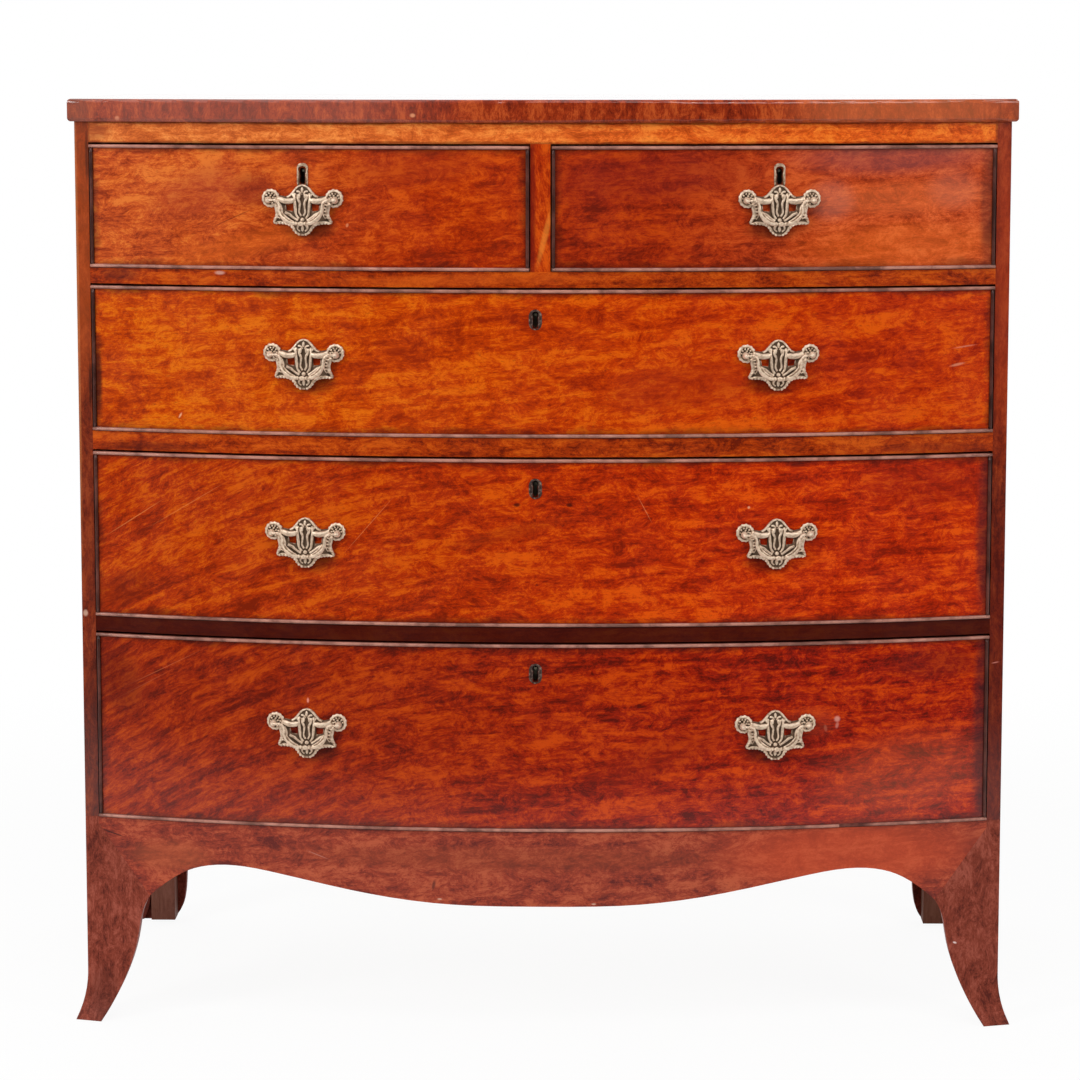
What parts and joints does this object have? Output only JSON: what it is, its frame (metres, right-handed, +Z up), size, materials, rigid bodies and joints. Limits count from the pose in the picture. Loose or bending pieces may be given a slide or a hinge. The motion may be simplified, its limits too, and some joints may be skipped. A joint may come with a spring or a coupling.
{
  "type": "bow front chest of drawers",
  "caption": "Bow front chest with small drawers over wide graduated ones, cock beaded edges, drop handles, a shaped apron and splayed bracket feet.",
  "frame": {"origin": "on the floor, under the middle of the chest's overall width and depth", "axes": "+X to the right seen from the front, -Y to the front, where the drawers open, +Z up"},
  "size_m": [1.066, 0.547, 1.048],
  "materials": {
    "mahogany": "french polished, glossy",
    "crossbanding": "french polished, grain upright",
    "cock_bead": "dark, polished",
    "secondary_wood": "planed, dry",
    "brass": "aged, lacquer worn off",
    "lock_metal": "dull"
  },
  "bodies": {
    "carcass": {"top_board": "mahogany", "top_edge_band": "crossbanding", "side_left": "mahogany", "side_right": "mahogany", "corner_stiles": "mahogany", "frieze_rail": "mahogany", "drawer_rails": "mahogany", "centre_divider": "mahogany", "dust_boards": "secondary_wood", "drawer_runners": "secondary_wood", "bottom_board": "secondary_wood", "back_boards": "secondary_wood", "drawer_stops": "secondary_wood", "apron": "mahogany", "front_feet": "mahogany", "rear_feet": "mahogany", "foot_blocks": "secondary_wood"},
    "top_left_drawer": {"top_left_drawer_front": "mahogany", "top_left_drawer_box": "secondary_wood", "top_left_drawer_bottom": "secondary_wood", "top_left_drawer_cock_beads": "cock_bead", "top_left_drawer_lock_case": "lock_metal", "top_left_drawer_brasswork": "brass"},
    "top_left_drawer_lock_bolt": {"top_left_drawer_lock_bolt": "lock_metal"},
    "top_left_drawer_bail": {"top_left_drawer_bail": "brass"},
    "top_right_drawer": {"top_right_drawer_front": "mahogany", "top_right_drawer_box": "secondary_wood", "top_right_drawer_bottom": "secondary_wood", "top_right_drawer_cock_beads": "cock_bead", "top_right_drawer_lock_case": "lock_metal", "top_right_drawer_brasswork": "brass"},
    "top_right_drawer_lock_bolt": {"top_right_drawer_lock_bolt": "lock_metal"},
    "top_right_drawer_bail": {"top_right_drawer_bail": "brass"},
    "second_drawer": {"second_drawer_front": "mahogany", "second_drawer_box": "secondary_wood", "second_drawer_bottom": "secondary_wood", "second_drawer_cock_beads": "cock_bead", "second_drawer_lock_case": "lock_metal", "second_drawer_brasswork": "brass"},
    "second_drawer_lock_bolt": {"second_drawer_lock_bolt": "lock_metal"},
    "second_drawer_left_bail": {"second_drawer_left_bail": "brass"},
    "second_drawer_right_bail": {"second_drawer_right_bail": "brass"},
    "third_drawer": {"third_drawer_front": "mahogany", "third_drawer_box": "secondary_wood", "third_drawer_bottom": "secondary_wood", "third_drawer_cock_beads": "cock_bead", "third_drawer_lock_case": "lock_metal", "third_drawer_brasswork": "brass"},
    "third_drawer_lock_bolt": {"third_drawer_lock_bolt": "lock_metal"},
    "third_drawer_left_bail": {"third_drawer_left_bail": "brass"},
    "third_drawer_right_bail": {"third_drawer_right_bail": "brass"},
    "bottom_drawer": {"bottom_drawer_front": "mahogany", "bottom_drawer_box": "secondary_wood", "bottom_drawer_bottom": "secondary_wood", "bottom_drawer_cock_beads": "cock_bead", "bottom_drawer_lock_case": "lock_metal", "bottom_drawer_brasswork": "brass"},
    "bottom_drawer_lock_bolt": {"bottom_drawer_lock_bolt": "lock_metal"},
    "bottom_drawer_left_bail": {"bottom_drawer_left_bail": "brass"},
    "bottom_drawer_right_bail": {"bottom_drawer_right_bail": "brass"}
  },
  "joints": [
    {"name": "top_left_drawer_slide", "type": "slide", "parent": "carcass", "child": "top_left_drawer", "axis": [0, -1, 0], "range_m": [0, 0.38]},
    {"name": "top_left_drawer_bolt_throw", "type": "slide", "parent": "top_left_drawer", "child": "top_left_drawer_lock_bolt", "axis": [0, 0, 1], "range_m": [0, 0.008]},
    {"name": "top_left_drawer_bail_swing", "type": "hinge", "parent": "top_left_drawer", "child": "top_left_drawer_bail", "pos_m": [-0.26263, -0.25928, 0.9385], "axis": [-0.9899, 0.1418, 0], "range_deg": [0, 100]},
    {"name": "top_right_drawer_slide", "type": "slide", "parent": "carcass", "child": "top_right_drawer", "axis": [0, -1, 0], "range_m": [0, 0.38]},
    {"name": "top_right_drawer_bolt_throw", "type": "slide", "parent": "top_right_drawer", "child": "top_right_drawer_lock_bolt", "axis": [0, 0, 1], "range_m": [0, 0.008]},
    {"name": "top_right_drawer_bail_swing", "type": "hinge", "parent": "top_right_drawer", "child": "top_right_drawer_bail", "pos_m": [0.26263, -0.25928, 0.9385], "axis": [-0.9899, -0.1418, 0], "range_deg": [0, 100]},
    {"name": "second_drawer_slide", "type": "slide", "parent": "carcass", "child": "second_drawer", "axis": [0, -1, 0], "range_m": [0, 0.38]},
    {"name": "second_drawer_bolt_throw", "type": "slide", "parent": "second_drawer", "child": "second_drawer_lock_bolt", "axis": [0, 0, 1], "range_m": [0, 0.008]},
    {"name": "second_drawer_left_bail_swing", "type": "hinge", "parent": "second_drawer", "child": "second_drawer_left_bail", "pos_m": [-0.26263, -0.25928, 0.76875], "axis": [-0.9899, 0.1418, 0], "range_deg": [0, 100]},
    {"name": "second_drawer_right_bail_swing", "type": "hinge", "parent": "second_drawer", "child": "second_drawer_right_bail", "pos_m": [0.26263, -0.25928, 0.76875], "axis": [-0.9899, -0.1418, 0], "range_deg": [0, 100]},
    {"name": "third_drawer_slide", "type": "slide", "parent": "carcass", "child": "third_drawer", "axis": [0, -1, 0], "range_m": [0, 0.38]},
    {"name": "third_drawer_bolt_throw", "type": "slide", "parent": "third_drawer", "child": "third_drawer_lock_bolt", "axis": [0, 0, 1], "range_m": [0, 0.008]},
    {"name": "third_drawer_left_bail_swing", "type": "hinge", "parent": "third_drawer", "child": "third_drawer_left_bail", "pos_m": [-0.26263, -0.25928, 0.57025], "axis": [-0.9899, 0.1418, 0], "range_deg": [0, 100]},
    {"name": "third_drawer_right_bail_swing", "type": "hinge", "parent": "third_drawer", "child": "third_drawer_right_bail", "pos_m": [0.26263, -0.25928, 0.57025], "axis": [-0.9899, -0.1418, 0], "range_deg": [0, 100]},
    {"name": "bottom_drawer_slide", "type": "slide", "parent": "carcass", "child": "bottom_drawer", "axis": [0, -1, 0], "range_m": [0, 0.38]},
    {"name": "bottom_drawer_bolt_throw", "type": "slide", "parent": "bottom_drawer", "child": "bottom_drawer_lock_bolt", "axis": [0, 0, 1], "range_m": [0, 0.008]},
    {"name": "bottom_drawer_left_bail_swing", "type": "hinge", "parent": "bottom_drawer", "child": "bottom_drawer_left_bail", "pos_m": [-0.26263, -0.25928, 0.35525], "axis": [-0.9899, 0.1418, 0], "range_deg": [0, 100]},
    {"name": "bottom_drawer_right_bail_swing", "type": "hinge", "parent": "bottom_drawer", "child": "bottom_drawer_right_bail", "pos_m": [0.26263, -0.25928, 0.35525], "axis": [-0.9899, -0.1418, 0], "range_deg": [0, 100]}
  ]
}
